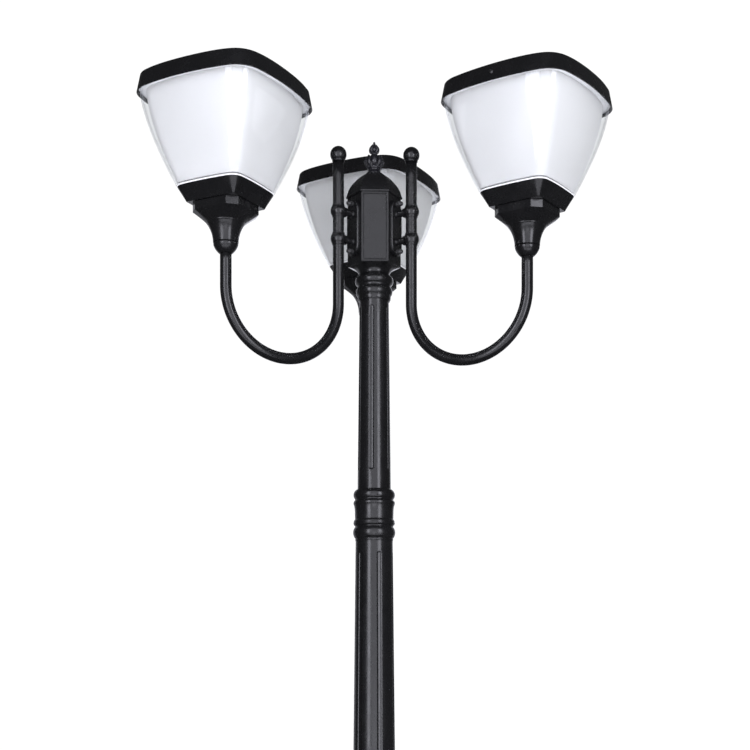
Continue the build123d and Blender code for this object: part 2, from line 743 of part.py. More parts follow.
# Battery pack: four lithium cells side by side on the plate, held by a strap.
cell_radius = 9.2
cell_length = 65.0
cell_pitch = 18.2
with BuildPart() as battery_pack:
    with BuildSketch(Plane.YZ.offset(-cell_length / 2)):
        with Locations((0, plate_top + cell_radius)):
            with GridLocations(cell_pitch, 1, 4, 1):
                Circle(cell_radius)
    extrude(amount=cell_length)
    with BuildSketch(Plane.XY.offset(plate_top)):
        Rectangle(18, 4 * cell_pitch)
    extrude(amount=2 * cell_radius)

# Cap frame: bowed hollow rim that hangs over the bowl, with a rebate for the panel on top.
cap_draft = (cap_foot_half - cap_top_half) / (cap_top - cap_foot)
lid_foot = cap_top - lid_thickness
spot_face = 136.4
with BuildPart() as cap_frame:
    with BuildSketch(Plane.XY.offset(cap_foot)):
        add(soft_square(cap_foot_half, cap_bulge, cap_corner))
    with BuildSketch(Plane.XY.offset(cap_top)):
        add(soft_square(cap_top_half, cap_bulge, cap_corner))
    loft(ruled=True)
    chamfer(cap_frame.faces().sort_by(Axis.Z)[-1].edges(), 1.2)
    with BuildSketch(Plane.XY.offset(cap_foot)):
        add(soft_square(cap_foot_half - cap_wall, cap_bulge, cap_corner - cap_wall))
    with BuildSketch(Plane.XY.offset(lid_foot)):
        lid_half = cap_foot_half - cap_wall - cap_draft * (lid_foot - cap_foot)
        add(soft_square(lid_half, cap_bulge, cap_corner - cap_wall))
    loft(ruled=True, mode=Mode.SUBTRACT)
    with BuildSketch(Plane.XY.offset(cap_top)):
        RectangleRounded(panel_side, panel_side, panel_corner)
    extrude(amount=-panel_thickness, mode=Mode.SUBTRACT)
    with BuildSketch(Plane.XY.offset(cap_top)):
        RectangleRounded(panel_side - 2 * panel_ledge, panel_side - 2 * panel_ledge, panel_corner / 2)
    extrude(amount=-lid_thickness, mode=Mode.SUBTRACT)
    with BuildSketch(face_plane(0, cap_foot_half, fixing_height)):
        Circle(cap_screw_radius)
    extrude(amount=-8, mode=Mode.SUBTRACT)
    with BuildSketch(face_plane(0, cap_foot_half, fixing_height)):
        Circle(4.2)
    extrude(amount=spot_face - cap_foot_half, mode=Mode.SUBTRACT)
    with BuildSketch(face_plane(-90, cap_foot_half, fixing_height)):
        Circle(button_hole_radius)
    extrude(amount=-8, mode=Mode.SUBTRACT)

# Solar panel: glass-faced laminate that drops into the cap's rebate.
panel_clearance = 0.2
with BuildPart() as solar_panel:
    with BuildSketch(Plane.XY.offset(cap_top - panel_thickness)):
        RectangleRounded(panel_side - 2 * panel_clearance, panel_side - 2 * panel_clearance, panel_corner)
    extrude(amount=panel_thickness - 0.4)

# Tray screws: from the shell's floor through the tray's bosses into the holder.
tray_screw = round_bolt(tray_screw_radius, diffuser_foot - block_top + 10, 4.8, 1.6, 2.0)
with BuildPart() as tray_screws:
    with Locations((0, 0, diffuser_foot)):
        with GridLocations(tray_screw_spacing, tray_screw_spacing, 2, 2):
            add(tray_screw)

# Cap screw: one dome-headed screw through the rim into the plate's lug.
with BuildPart() as cap_screw:
    with Locations(face_plane(0, spot_face, fixing_height)):
        add(round_bolt(cap_screw_radius, 13.5, 3.8, 0.8, 1.6))

# Push button: plunger through the rim, kept in by its own inner flange.
button_flange_radius = 6.5
button_flange_thickness = 1.8
with BuildPart() as power_button:
    with BuildSketch(face_plane(-90, button_inner_face, fixing_height)):
        Circle(button_flange_radius)
    extrude(amount=button_flange_thickness)
    with BuildSketch(face_plane(-90, button_inner_face, fixing_height)):
        Circle(button_radius)
    extrude(amount=button_face - button_inner_face)
    chamfer(power_button.faces().sort_by(Axis.Y)[0].edges(), 0.8)

head_pieces = {
    "lamp_holder": lamp_holder,
    "tray": tray,
    "tray_gasket": tray_gasket,
    "clear_shell": clear_shell,
    "opal_diffuser": opal_diffuser,
    "reflector_plate": reflector_plate,
    "led_board": led_board,
    "battery_pack": battery_pack,
    "cap_frame": cap_frame,
    "solar_panel": solar_panel,
    "tray_screws": tray_screws,
    "cap_screw": cap_screw,
    "power_button": power_button,
}
for side, direction in arm_directions.items():
    head_x = outer_leg * cos(radians(direction))
    head_y = outer_leg * sin(radians(direction))
    head_place = Location((head_x, head_y, 0), (0, 0, head_turns[side]))
    for name, piece in head_pieces.items():
        save(piece.part, f"{name}_{side}", head_place)
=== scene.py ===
import json
import math

import bmesh
import bpy
from mathutils import Matrix, Vector


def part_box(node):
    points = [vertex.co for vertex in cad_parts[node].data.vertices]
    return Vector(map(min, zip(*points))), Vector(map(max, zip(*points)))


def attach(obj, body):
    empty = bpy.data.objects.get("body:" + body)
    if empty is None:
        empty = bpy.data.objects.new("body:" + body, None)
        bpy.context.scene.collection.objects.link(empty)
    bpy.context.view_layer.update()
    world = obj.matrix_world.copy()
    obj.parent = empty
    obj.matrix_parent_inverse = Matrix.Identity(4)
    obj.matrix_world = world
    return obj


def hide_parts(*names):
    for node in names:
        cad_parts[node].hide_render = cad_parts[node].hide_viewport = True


# Looks of the three-headed solar street lamp, in metres, round its fixed frame.
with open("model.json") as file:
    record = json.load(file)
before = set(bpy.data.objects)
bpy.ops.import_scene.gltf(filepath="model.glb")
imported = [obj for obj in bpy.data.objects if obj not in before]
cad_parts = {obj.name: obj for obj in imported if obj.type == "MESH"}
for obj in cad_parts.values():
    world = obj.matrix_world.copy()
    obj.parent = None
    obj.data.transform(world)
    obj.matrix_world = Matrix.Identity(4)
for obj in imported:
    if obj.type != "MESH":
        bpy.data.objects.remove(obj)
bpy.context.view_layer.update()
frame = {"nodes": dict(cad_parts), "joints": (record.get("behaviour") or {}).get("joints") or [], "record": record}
nodes = frame["nodes"]
SIDES = ("left", "right", "rear")
POST = "post_and_arms"

# ---------------------------------------------------------------------------------------------------------
# Node helpers
# ---------------------------------------------------------------------------------------------------------


def feed(tree, socket, value):
    """Links another node's output to a socket, or sets the socket to a constant."""
    if isinstance(value, bpy.types.NodeSocket):
        tree.links.new(value, socket)
    else:
        socket.default_value = value


class Shader:
    """A material under construction: makes nodes and joins them with little writing."""

    def __init__(self, name):
        self.material = bpy.data.materials.new(name)
        self.material.use_nodes = True
        self.tree = self.material.node_tree
        self.tree.nodes.clear()
        self.output = self.tree.nodes.new("ShaderNodeOutputMaterial")
        self.place = self.node("ShaderNodeTexCoord").outputs["Object"]

    def node(self, kind, links=(), **values):
        made = self.tree.nodes.new(kind)
        for key, value in values.items():
            setattr(made, key, value)
        for socket, value in dict(links).items():
            feed(self.tree, made.inputs[socket], value)
        return made

    def noise(self, scale, detail=2.0, roughness=0.5):
        return self.node("ShaderNodeTexNoise", {"Vector": self.place, "Scale": scale, "Detail": detail,
                                                "Roughness": roughness}).outputs["Fac"]

    def ramp(self, value, low, high, low_to, high_to):
        return self.node("ShaderNodeMapRange", {"Value": value, "From Min": low, "From Max": high,
                                                "To Min": low_to, "To Max": high_to}).outputs["Result"]

    def mix(self, factor, first, second):
        return self.node("ShaderNodeMix", {0: factor, 6: first, 7: second}, data_type="RGBA").outputs[2]

    def bump(self, height, strength, distance, normal=None):
        links = {"Height": height, "Strength": strength, "Distance": distance}
        if normal is not None:
            links["Normal"] = normal
        return self.node("ShaderNodeBump", links).outputs["Normal"]

    def math(self, operation, first, second=None):
        links = {0: first} if second is None else {0: first, 1: second}
        return self.node("ShaderNodeMath", links, operation=operation).outputs[0]

    def rounded(self, radius):
        """Normal with every sharp edge rounded off by that radius."""
        return self.node("ShaderNodeBevel", {"Radius": radius}, samples=4).outputs["Normal"]

    def edge(self, radius, low, high):
        """1 along convex edges, 0 elsewhere: how far a bevelled normal leaves the true one."""
        bevelled = self.rounded(radius)
        true = self.node("ShaderNodeNewGeometry").outputs["Normal"]
        dot = self.node("ShaderNodeVectorMath", {0: bevelled, 1: true}, operation="DOT_PRODUCT")
        return self.ramp(dot.outputs["Value"], high, low, 0.0, 1.0)

    def principled(self, **values):
        made = self.node("ShaderNodeBsdfPrincipled", values)
        self.tree.links.new(made.outputs[0], self.output.inputs[0])
        return made


def rgb(value, blue=0.0):
    """Grey of that value with a little more blue."""
    return (value, value, value + blue, 1.0)


COAT_TONE = 0.0050
COAT_ROUGHNESS = 0.25


def powder_coat(name):
    """Satin black powder coat: fine orange peel, faint cloudiness, slightly paler where edges are rubbed."""
    s = Shader(name)
    cloud = s.noise(9.0, 3.0)
    peel = s.noise(900.0, 2.0)
    speck = s.noise(2600.0, 1.0)
    tone = s.mix(s.ramp(cloud, 0.3, 0.7, 0.0, 1.0), rgb(COAT_TONE * 0.86, 0.0004),
                 rgb(COAT_TONE * 1.16, 0.0006))
    convex_edges = s.edge(0.0012, 0.86, 0.99)
    wear = s.math("MULTIPLY", convex_edges, s.ramp(s.noise(60.0, 4.0), 0.45, 0.7, 0.0, 0.5))
    colour = s.mix(wear, tone, rgb(COAT_TONE * 2.6, 0.003))
    rough = s.ramp(s.noise(35.0, 3.0), 0.3, 0.7, COAT_ROUGHNESS - 0.05, COAT_ROUGHNESS + 0.06)
    soft = s.bump(peel, 0.02, 0.0001, s.rounded(0.001))
    normal = s.bump(speck, 0.015, 0.00005, soft)
    s.principled(**{"Base Color": colour, "Roughness": rough, "Normal": normal, "Specular IOR Level": 0.5})
    return s.material


def rim_highlight_coat(name):
    """The same coat on fine leaf work, with a painted grey highlight along its raised edges that stands in for rim
    light.
    """
    s = Shader(name)
    # Painted highlight: the raised edges get a pale grey colour, broken up by noise, in place of rim light.
    convex_edges = s.edge(0.0009, 0.90, 0.995)
    painted_rim_highlight = s.math("MULTIPLY", convex_edges, s.ramp(s.noise(240.0, 3.0), 0.3, 0.6, 0.45, 1.0))
    coat = s.mix(s.ramp(s.noise(90.0, 3.0), 0.3, 0.7, 0.0, 1.0), rgb(0.006, 0.002), rgb(0.010, 0.003))
    colour = s.mix(painted_rim_highlight, coat, rgb(0.13, 0.01))
    rough = s.ramp(s.noise(120.0, 3.0), 0.3, 0.7, 0.22, 0.32)
    normal = s.bump(s.noise(900.0, 2.0), 0.03, 0.0001, s.rounded(0.0005))
    s.principled(**{"Base Color": colour, "Roughness": rough, "Normal": normal})
    return s.material


def cast_iron(name):
    """Black paint over a sand casting: coarse pitted skin, its tone darker in the low places of the lumps."""
    s = Shader(name)
    pits = s.noise(260.0, 5.0, 0.65)
    lumps = s.noise(28.0, 3.0)
    tone = s.mix(s.ramp(lumps, 0.35, 0.7, 0.0, 1.0), rgb(0.016, 0.001), rgb(0.026, 0.002))
    convex_edges = s.edge(0.002, 0.80, 0.99)
    colour = s.mix(s.math("MULTIPLY", convex_edges, 0.35), tone, rgb(0.09, 0.003))
    rough = s.ramp(pits, 0.3, 0.7, 0.42, 0.62)
    normal = s.bump(lumps, 0.12, 0.002, s.bump(pits, 0.35, 0.0006, s.rounded(0.0012)))
    s.principled(**{"Base Color": colour, "Roughness": rough, "Normal": normal})
    return s.material


def machined_steel(name, tone, roughness):
    """Zinc-plated or blackened steel with fine turning marks."""
    s = Shader(name)
    stretched = s.node("ShaderNodeMapping", {"Vector": s.place, "Scale": (1.0, 1.0, 14.0)}).outputs[0]
    marks = s.node("ShaderNodeTexNoise", {"Vector": stretched, "Scale": 700.0, "Detail": 3.0}).outputs["Fac"]
    cloud = s.noise(120.0, 3.0)
    colour = s.mix(s.ramp(cloud, 0.3, 0.7, 0.0, 1.0), rgb(tone * 0.8), rgb(tone * 1.2, 0.01))
    rough = s.ramp(marks, 0.3, 0.7, roughness - 0.07, roughness + 0.1)
    normal = s.bump(marks, 0.15, 0.0001, s.rounded(0.0005))
    s.principled(**{"Base Color": colour, "Roughness": rough, "Normal": normal, "Metallic": 0.9})
    return s.material


def gloss_black(name):
    """Glossy black lacquer of the small fasteners."""
    s = Shader(name)
    cloud = s.noise(220.0, 3.0)
    colour = s.mix(s.ramp(cloud, 0.3, 0.7, 0.0, 1.0), rgb(0.012), rgb(0.022, 0.001))
    convex_edges = s.edge(0.0006, 0.80, 0.99)
    colour = s.mix(s.math("MULTIPLY", convex_edges, 0.3), colour, rgb(0.12, 0.005))
    rough = s.ramp(cloud, 0.3, 0.7, 0.20, 0.30)
    normal = s.bump(s.noise(1500.0, 2.0), 0.05, 0.0002, s.rounded(0.0006))
    s.principled(**{"Base Color": colour, "Roughness": rough, "Normal": normal})
    return s.material


def clear_acrylic(name):
    """Clear moulded acrylic: mirrors by angle, lets the rest through unbent, with faint flow waves."""
    head_on, grazing = 0.022, 0.75
    s = Shader(name)
    waves = s.noise(14.0, 2.0)
    fine = s.noise(420.0, 3.0)
    normal = s.bump(waves, 0.03, 0.001, s.bump(fine, 0.01, 0.00003, s.rounded(0.0012)))
    facing = s.node("ShaderNodeLayerWeight", {"Blend": 0.5, "Normal": normal}).outputs["Facing"]
    fresnel = s.ramp(s.math("POWER", facing, 5.0), 0.0, 1.0, head_on, grazing)
    haze = s.ramp(s.noise(60.0, 4.0), 0.35, 0.75, 0.0, 0.008)
    share = s.math("ADD", fresnel, haze)
    tint = s.mix(s.ramp(waves, 0.3, 0.7, 0.0, 1.0), (0.975, 0.98, 0.985, 1.0),
                 (0.985, 0.99, 0.995, 1.0))
    rough = s.ramp(fine, 0.3, 0.7, 0.07, 0.11)
    through = s.node("ShaderNodeBsdfTransparent", {"Color": tint}).outputs[0]
    mirror = s.node("ShaderNodeBsdfGlossy", {"Color": (0.95, 0.96, 0.98, 1.0), "Roughness": rough,
                                             "Normal": normal}).outputs[0]
    both = s.node("ShaderNodeMixShader", {0: share, 1: through, 2: mirror}).outputs[0]
    s.tree.links.new(both, s.output.inputs[0])
    return s.material


def opal_plastic(name):
    """White light-spreading acrylic, softly cloudy, with a satin moulded face."""
    s = Shader(name)
    cloud = s.noise(7.0, 2.0)
    grain = s.noise(1400.0, 2.0)
    colour = s.mix(s.ramp(cloud, 0.3, 0.7, 0.0, 1.0), (0.905, 0.897, 0.870, 1.0),
                   (0.935, 0.927, 0.900, 1.0))
    rough = s.ramp(s.noise(40.0, 3.0), 0.3, 0.7, 0.38, 0.48)
    normal = s.bump(grain, 0.015, 0.00005, s.rounded(0.001))
    s.principled(**{"Base Color": colour, "Roughness": rough, "Normal": normal, "Subsurface Weight": 0.52,
                    "Subsurface Radius": (0.035, 0.035, 0.035), "Subsurface Scale": 1.0})
    return s.material


def moulded(name, tone, roughness, grain_scale, grain_depth):
    """Moulded plastic or rubber of one tone with its own grain."""
    s = Shader(name)
    cloud = s.noise(18.0, 3.0)
    grain = s.noise(grain_scale, 3.0)
    dark = tuple(c * 0.93 for c in tone) + (1.0,)
    pale = tuple(min(c * 1.05, 1.0) for c in tone) + (1.0,)
    colour = s.mix(s.ramp(cloud, 0.3, 0.7, 0.0, 1.0), dark, pale)
    rough = s.ramp(grain, 0.3, 0.7, roughness - 0.06, roughness + 0.06)
    normal = s.bump(grain, 0.2, grain_depth, s.rounded(0.0006))
    s.principled(**{"Base Color": colour, "Roughness": rough, "Normal": normal})
    return s.material


def circuit_board(name, board_underside):
    """White solder mask with pale tracks; anything lower than the board's underside is a yellow emitter."""
    s = Shader(name)
    z = s.node("ShaderNodeSeparateXYZ", {0: s.place}).outputs["Z"]
    emitter = s.math("LESS_THAN", z, board_underside - 0.0002)
    tracks = s.node("ShaderNodeTexVoronoi", {"Vector": s.place, "Scale": 90.0},
                    distance="CHEBYCHEV").outputs[0]
    mask = s.mix(s.ramp(tracks, 0.30, 0.34, 0.0, 1.0), (0.80, 0.81, 0.78, 1.0),
                 (0.70, 0.74, 0.66, 1.0))
    colour = s.mix(emitter, mask, (0.86, 0.66, 0.12, 1.0))
    rough = s.ramp(s.noise(300.0), 0.3, 0.7, 0.30, 0.42)
    normal = s.bump(tracks, 0.2, 0.0002, s.rounded(0.0003))
    s.principled(**{"Base Color": colour, "Roughness": rough, "Normal": normal})
    return s.material


def solar_glass(name, cell, gap, half):
    """Dark blue cells with silver fingers and three bars each, on a black sheet under glass."""
    s = Shader(name)
    own_place = s.node("ShaderNodeAttribute", attribute_name="own_place").outputs["Vector"]
    axes = s.node("ShaderNodeSeparateXYZ", {0: own_place}).outputs
    x, y = axes["X"], axes["Y"]
    pitch = cell + gap

    def stripe(value, spacing, width):
        """1 inside a line of that width that repeats at that spacing, 0 elsewhere."""
        moved = s.math("ADD", value, 20.5 * spacing)  # well past zero, where the pattern would mirror
        turn = s.math("PINGPONG", moved, spacing / 2)
        return s.math("LESS_THAN", turn, width / 2)

    def either(first, second):
        return s.math("MAXIMUM", first, second)

    joints = either(*(stripe(s.math("ADD", axis, pitch / 2), pitch, gap) for axis in (x, y)))
    outside = either(*(s.math("GREATER_THAN", s.math("ABSOLUTE", axis), half) for axis in (x, y)))
    sheet = either(joints, outside)
    fingers = s.math("MULTIPLY", stripe(y, 0.0022, 0.00018), 0.55)
    bars = stripe(x, pitch / 3, 0.0012)
    lines = either(fingers, bars)
    crystal = s.noise(55.0, 4.0)
    wafer = s.mix(s.ramp(crystal, 0.3, 0.7, 0.0, 1.0), (0.006, 0.011, 0.040, 1.0),
                  (0.012, 0.022, 0.070, 1.0))
    colour = s.mix(lines, wafer, (0.42, 0.43, 0.45, 1.0))
    colour = s.mix(sheet, colour, (0.012, 0.012, 0.014, 1.0))
    rough = s.ramp(crystal, 0.3, 0.7, 0.30, 0.42)
    normal = s.bump(s.noise(500.0, 2.0), 0.04, 0.0002, s.rounded(0.0006))
    s.principled(**{"Base Color": colour, "Roughness": rough, "Normal": normal, "Coat Weight": 1.0,
                    "Coat Roughness": 0.04})
    return s.material


FINISH = {
    "black_powder_coat": powder_coat("black_powder_coat"),
    "black_steel_tube": powder_coat("black_steel_tube"),
    "black_cast_iron": cast_iron("black_cast_iron"),
    "dark_steel": machined_steel("dark_steel", 0.30, 0.32),
    "black_fastener": gloss_black("black_fastener"),
    "white_silicone": moulded("white_silicone", (0.82, 0.82, 0.83), 0.50, 600.0, 0.0002),
    "clear_acrylic": clear_acrylic("clear_acrylic"),
    "opal_plastic": opal_plastic("opal_plastic"),
    "white_plastic": moulded("white_plastic", (0.84, 0.84, 0.85), 0.40, 900.0, 0.0002),
    "circuit_board": circuit_board("circuit_board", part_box("reflector_plate_left")[0].z - 0.0016),
    "battery_wrap": moulded("battery_wrap", (0.05, 0.16, 0.38), 0.30, 300.0, 0.0002),
    "solar_glass": solar_glass("solar_glass", 0.051, 0.0018, 0.1055),
    "black_rubber": moulded("black_rubber", (0.018, 0.018, 0.019), 0.55, 1200.0, 0.0003),
}
node_slots = {part["node"]: part["material_slot"] for part in frame["record"]["subparts"]}
for node_name, node in nodes.items():
    node.data.materials.clear()
    node.data.materials.append(FINISH[node_slots[node_name]])

# ---------------------------------------------------------------------------------------------------------
# Mesh helpers: shapes are written in millimetres and made in metres
# ---------------------------------------------------------------------------------------------------------
MM = 0.001
WELD = 1e-6
SHARP = math.radians(28)  # edges that turn more than this are rounded


def arc_to(start, end, radius, steps):
    """Points after start on the arc to end; a radius above zero bulges to the left of the way to end."""
    across, up = end[0] - start[0], end[1] - start[1]
    chord = math.hypot(across, up)
    lift = math.copysign(math.sqrt(max(radius**2 - chord**2 / 4, 0.0)), radius)
    centre_x = (start[0] + end[0]) / 2 + up / chord * lift
    centre_y = (start[1] + end[1]) / 2 - across / chord * lift
    first = math.atan2(start[1] - centre_y, start[0] - centre_x)
    last = math.atan2(end[1] - centre_y, end[0] - centre_x)
    sweep = (last - first + math.pi) % (2 * math.pi) - math.pi
    return [(centre_x + abs(radius) * math.cos(first + sweep * step / steps),
             centre_y + abs(radius) * math.sin(first + sweep * step / steps)) for step in range(1, steps + 1)]


def profile(*points, steps=8):
    """Corner points (r, z); one written (r, z, radius) is reached by an arc."""
    line = [points[0]]
    for point in points[1:]:
        line += arc_to(line[-1], point[:2], point[2], steps) if len(point) == 3 else [point]
    return line


def smooth_line(points, steps=6):
    """Smooth line through points of any dimension (Catmull-Rom)."""
    padded = [points[0], *points, points[-1]]
    line = []
    for before, start, end, after in zip(padded, padded[1:], padded[2:], padded[3:]):
        for step in range(steps):
            t = step / steps
            line.append(tuple(
                0.5 * (2 * b + (c - a) * t + (2 * a - 5 * b + 4 * c - d) * t**2
                       + (3 * b - a - 3 * c + d) * t**3)
                for a, b, c, d in zip(before, start, end, after)))
    return [*line, points[-1]]


def circle(radius, height, count=96):
    """Level ring; a radius of zero gives a pole."""
    if radius < 0.01:
        return [(0.0, 0.0, height)]
    turns = [2 * math.pi * step / count for step in range(count)]
    return [(radius * math.cos(turn), radius * math.sin(turn), height) for turn in turns]


def soft_ring(half, bulge, corner, height, side_steps=20, corner_steps=10):
    """Square outline with bowed sides and round corners."""
    side_radius = ((half - bulge) ** 2 + bulge**2) / (2 * bulge)
    side_centre = half - side_radius
    reach = side_radius - corner
    corner_centre = (side_centre + math.sqrt(2 * reach**2 - side_centre**2)) / 2
    half_angle = math.atan2(corner_centre, corner_centre - side_centre)
    quarter = []
    for step in range(side_steps):
        turn = half_angle * (2 * step / side_steps - 1)
        quarter.append((side_centre + side_radius * math.cos(turn), side_radius * math.sin(turn)))
    for step in range(corner_steps):
        turn = half_angle + (math.pi / 2 - 2 * half_angle) * step / corner_steps
        quarter.append((corner_centre + corner * math.cos(turn), corner_centre + corner * math.sin(turn)))
    ring = []
    for cosine, sine in ((1, 0), (0, 1), (-1, 0), (0, -1)):
        ring += [(x * cosine - y * sine, x * sine + y * cosine, height) for x, y in quarter]
    return ring


def skin(bm, rings, closed=False, caps=()):
    """Faces between rings of equally many points; caps lists the rings (0, -1) that are filled in."""
    made = [[bm.verts.new(Vector(point) * MM) for point in ring] for ring in rings]
    for low, high in zip(made, made[1:] + made[:1] if closed else made[1:]):
        count = max(len(low), len(high))
        for spot in range(count):
            after = (spot + 1) % count
            corners = (low[spot % len(low)], low[after % len(low)],
                       high[after % len(high)], high[spot % len(high)])
            bm.faces.new(list(dict.fromkeys(corners)))
    for cap in caps:
        bm.faces.new(made[cap] if cap else made[cap][::-1])
    return made


def mesh_of(bm, name, finish):
    """Turns a bmesh into a mesh with its finish, smooth faces and outward normals."""
    bmesh.ops.recalc_face_normals(bm, faces=bm.faces)
    for face in bm.faces:
        face.smooth = True
    mesh = bpy.data.meshes.new(name)
    bm.to_mesh(mesh)
    bm.free()
    mesh.materials.append(FINISH[finish])
    own_place = mesh.attributes.new("own_place", "FLOAT_VECTOR", "POINT")
    for vertex, spot in zip(mesh.vertices, own_place.data):
        spot.vector = vertex.co
    return mesh


def put(mesh, name, body, node, place=None, bevel=0.5):
    """Puts one piece in the scene, rounds its edges, ties it to its body and hides the node it replaces."""
    if place is not None:
        mesh = mesh.copy()
        mesh.transform(place)
    piece = bpy.data.objects.new(name, mesh)
    bpy.context.scene.collection.objects.link(piece)
    if bevel:
        rounding = piece.modifiers.new("rounding", "BEVEL")
        rounding.width = bevel * MM
        rounding.segments = 3
        rounding.limit_method = "ANGLE"
        rounding.angle_limit = SHARP
        rounding.harden_normals = True
    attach(piece, body)
    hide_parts(node)
    return piece


def add_part(bm, rings, place, caps=()):
    """Adds the skin over some rings to a bmesh, at a place, with doubled points welded."""
    made = bmesh.new()
    skin(made, rings, caps=caps)
    bmesh.ops.remove_doubles(made, verts=made.verts, dist=WELD)
    made.transform(place)
    part = bpy.data.meshes.new("part")
    made.to_mesh(part)
    made.free()
    bm.from_mesh(part)
    bpy.data.meshes.remove(part)


def put_on_post(bm, name, finish, node, bevel):
    return put(mesh_of(bm, name, finish), name, POST, node, bevel=bevel)


# ---------------------------------------------------------------------------------------------------------
# Heads: each mesh is made once about the Z axis with its screwed side along +X, then placed three times
# ---------------------------------------------------------------------------------------------------------
joints = {joint["name"]: joint for joint in frame["joints"]}


def head_place(side):
    """Where one head stands and which way it is turned, from its swivel and from its button's direction."""
    spot = joints[f"head_swivel_{side}"]["pos_m"]
    press = joints[f"power_button_press_{side}"]["axis"]
    turn = math.atan2(press[1], press[0]) - math.pi / 2
    return Matrix.Translation((spot[0], spot[1], 0)) @ Matrix.Rotation(turn, 4, "Z")


def put_on_heads(bm, stem, finish, node_stem, bevel=0.5):
    mesh = mesh_of(bm, stem, finish)
    for side in SIDES:
        put(mesh, f"{stem}_{side}", f"head_{side}", f"{node_stem}_{side}", head_place(side), bevel)


BOWL_FOOT = 2005.5
PLATE_FOOT = 2176.0
BOWL_TOP = PLATE_FOOT - 0.2
BOWL_FOOT_HALF = 74.6
BOWL_RIM_HALF = 135.0
BOWL_CURVE = 1.45
BOWL_FLOOR = 3.0
SHELL_WALL = 2.5
DIFFUSER_WALL = 2.0
BOWL_LEVELS = 22


def bowl_ring(height, inset):
    """Outline of the bowl at a height, drawn in by inset."""
    rise = min(max((height - BOWL_FOOT) / (PLATE_FOOT - BOWL_FOOT), 0.0), 1.0)
    spread = 1 - (1 - rise) ** BOWL_CURVE
    half = BOWL_FOOT_HALF + (BOWL_RIM_HALF - BOWL_FOOT_HALF) * spread
    return soft_ring(half - inset, 4 + 11 * spread, 22 + 27.5 * spread - inset, height)


def diffuser_inset(height):
    """The gap between shell and diffuser widens towards the rim."""
    return 4.5 + 6.5 * (height - BOWL_FOOT) / (PLATE_FOOT - BOWL_FOOT)


def levels(foot, top):
    return [foot + (top - foot) * step / (BOWL_LEVELS - 1) for step in range(BOWL_LEVELS)]


def make_clear_shell():
    """Clear bowl with a flat floor and a softened foot."""
    bm = bmesh.new()
    outside = [bowl_ring(height, 0) for height in levels(BOWL_FOOT + 1.2, BOWL_TOP)]
    foot = [bowl_ring(BOWL_FOOT, 1.2), bowl_ring(BOWL_FOOT + 0.35, 0.35)]
    inside = [bowl_ring(height, SHELL_WALL) for height in levels(BOWL_TOP, BOWL_FOOT + BOWL_FLOOR)]
    skin(bm, foot + outside + inside, caps=(0, -1))
    put_on_heads(bm, "clear_bowl", "clear_acrylic", "clear_shell")


def make_diffuser():
    """White liner inside the clear bowl, open at its top and foot."""
    bm = bmesh.new()
    foot = BOWL_FOOT + BOWL_FLOOR
    outside = [bowl_ring(height, diffuser_inset(height)) for height in levels(foot, BOWL_TOP)]
    inside = [bowl_ring(height, diffuser_inset(height) + DIFFUSER_WALL) for height in levels(BOWL_TOP, foot)]
    skin(bm, outside + inside, closed=True)
    put_on_heads(bm, "opal_liner", "opal_plastic", "opal_diffuser", 0.4)


BLOCK_HALF = 51.0
BLOCK_CUT = 16.4
BLOCK_FOOT = 1961.0
BLOCK_TOP = 1976.0
BELL_RADIUS = 36.1
BELL_TOP = 1943.0


def octagon(half, cut, steps=6):
    """Points (x, y) along the outline of a square with its corners cut off."""
    corners = []
    for sign_x, sign_y in ((1, 1), (-1, 1), (-1, -1), (1, -1)):
        pair = [(sign_x * half, sign_y * (half - cut)), (sign_x * (half - cut), sign_y * half)]
        corners += pair if sign_x == sign_y else pair[::-1]
    points = []
    for start, end in zip(corners, corners[1:] + corners[:1]):
        points += [tuple(a + (b - a) * step / steps for a, b in zip(start, end)) for step in range(steps)]
    return points


def make_holder():
    """Concave bell that turns on the spigot, ring line, flare and eight-sided block, hollow inside."""
    block = octagon(BLOCK_HALF, BLOCK_CUT)
    turns = [math.atan2(y, x) for x, y in block]

    def round_ring(radius, height):
        return [(radius * math.cos(turn), radius * math.sin(turn), height) for turn in turns]

    def between(share, height):
        """Outline part of the way from the bell's circle to the block's."""
        return [(BELL_RADIUS * math.cos(turn) * (1 - share) + x * share,
                 BELL_RADIUS * math.sin(turn) * (1 - share) + y * share, height)
                for turn, (x, y) in zip(turns, block)]

    bell = profile((15.05, 1906.0), (24.1, 1906.0), (24.1, 1909.0), (35.0, 1941.0, 64), (BELL_RADIUS, 1941.6),
                   (BELL_RADIUS, BELL_TOP), steps=14)
    rings = [round_ring(radius, height) for radius, height in bell]
    rings += [between(share, BELL_TOP + (BLOCK_FOOT - BELL_TOP) * share) for share in (0.25, 0.5, 0.75)]
    rings += [between(1.0, BLOCK_FOOT), between(1.0, BLOCK_TOP)]
    rings += [round_ring(radius, height) for radius, height in (
        (20.0, BLOCK_TOP), (20.0, 1945.0), (4.3, 1945.0), (4.3, 1937.0), (15.05, 1937.0))]
    bm = bmesh.new()
    skin(bm, rings, closed=True)
    put_on_heads(bm, "holder_bell", "black_powder_coat", "lamp_holder", 0.8)


PANEL_HALF = 110.8
PANEL_FOOT = 2200.02
PANEL_TOP = 2202.6


def make_solar_panel():
    """Square sheet of glass with rounded corners, set into the top of the cap."""
    bm = bmesh.new()
    skin(bm, [soft_ring(PANEL_HALF, 0.2, 12.0, height, 6, 8) for height in (PANEL_FOOT, PANEL_TOP)],
         caps=(0, -1))
    put_on_heads(bm, "solar_glass", "solar_glass", "solar_panel", 0.7)


TRAY_FOOT = 1976.02
TRAY_DEPTH = 26.93
TRAY_FOOT_HALF = 54.5
TRAY_RIM_HALF = 73.0
TRAY_RIM_CORNER = 22.0


